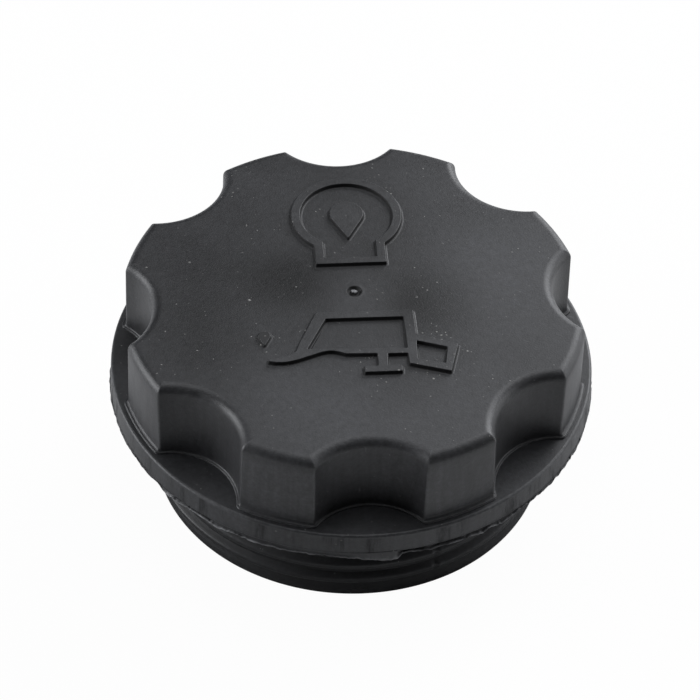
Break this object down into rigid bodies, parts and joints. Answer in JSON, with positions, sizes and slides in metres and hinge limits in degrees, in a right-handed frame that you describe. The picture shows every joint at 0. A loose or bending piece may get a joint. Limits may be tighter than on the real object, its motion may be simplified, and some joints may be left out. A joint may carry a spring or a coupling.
{
  "type": "oil filler cap",
  "caption": "Round screw cap with a scalloped hand grip, a flange, a hollow threaded spigot and a rubber sealing ring, closing an engine's oil filler neck.",
  "frame": {"origin": "centre of the spigot's end face, on which the cap stands", "axes": "+Z along the cap's axis, from the spigot towards the top face; +Y towards the upper edge of the signs on the top face, as they are read"},
  "size_m": [0.086, 0.086, 0.0388],
  "materials": {
    "black_plastic": "satin black moulded plastic with a fine spark grain",
    "seal_rubber": "dull black rubber"
  },
  "bodies": {
    "root": {"cap_moulding": "black_plastic", "sealing_ring": "seal_rubber"}
  },
  "joints": []
}
